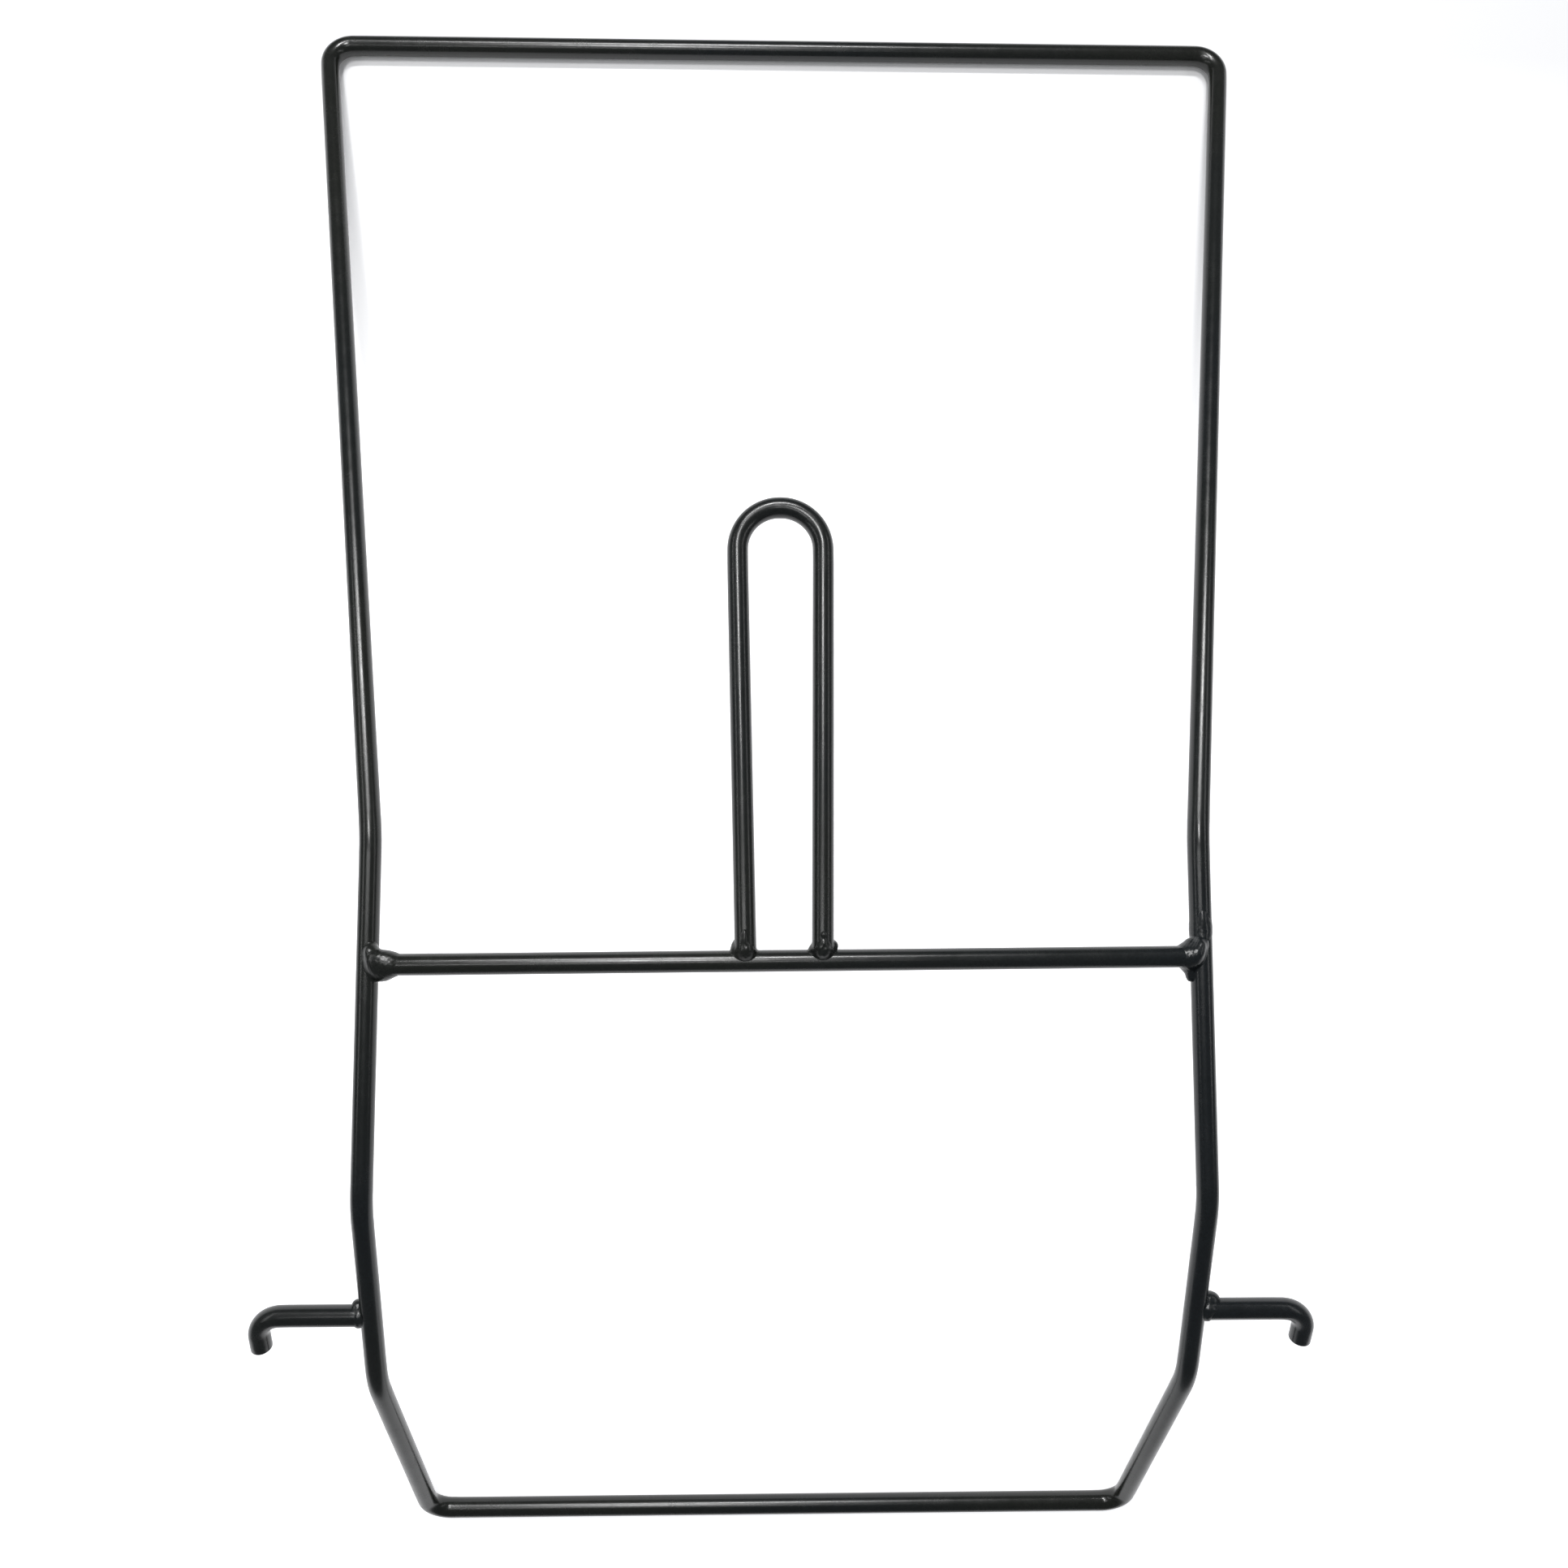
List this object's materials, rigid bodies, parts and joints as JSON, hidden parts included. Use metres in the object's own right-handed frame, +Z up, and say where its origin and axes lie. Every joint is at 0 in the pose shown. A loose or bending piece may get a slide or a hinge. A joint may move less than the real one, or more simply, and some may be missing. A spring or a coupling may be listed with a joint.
{
  "type": "photo album stand",
  "caption": "Bent round-rod stand with a raised level middle, a crossbar, an upright centre loop and a turned-down hook at each side, resting on two ground bars.",
  "frame": {"origin": "on the ground under the middle of the stand, level with the undersides of the front bar and the top bar", "axes": "+X to the right, +Y from the front bar to the top bar, +Z up from the ground to the raised level part"},
  "size_m": [0.3082, 0.496, 0.0812],
  "materials": {
    "powder_coat": "semi-gloss black-green powder coat with fine orange peel"
  },
  "bodies": {
    "root": {"main_frame": "powder_coat", "crossbar": "powder_coat", "centre_loop": "powder_coat", "hook_arm_left": "powder_coat", "hook_arm_right": "powder_coat", "crossbar_weld_left": "powder_coat", "crossbar_weld_right": "powder_coat", "frame_closing_weld": "powder_coat", "loop_weld_left": "powder_coat", "loop_weld_right": "powder_coat", "hook_weld_left": "powder_coat", "hook_weld_right": "powder_coat"}
  },
  "joints": []
}
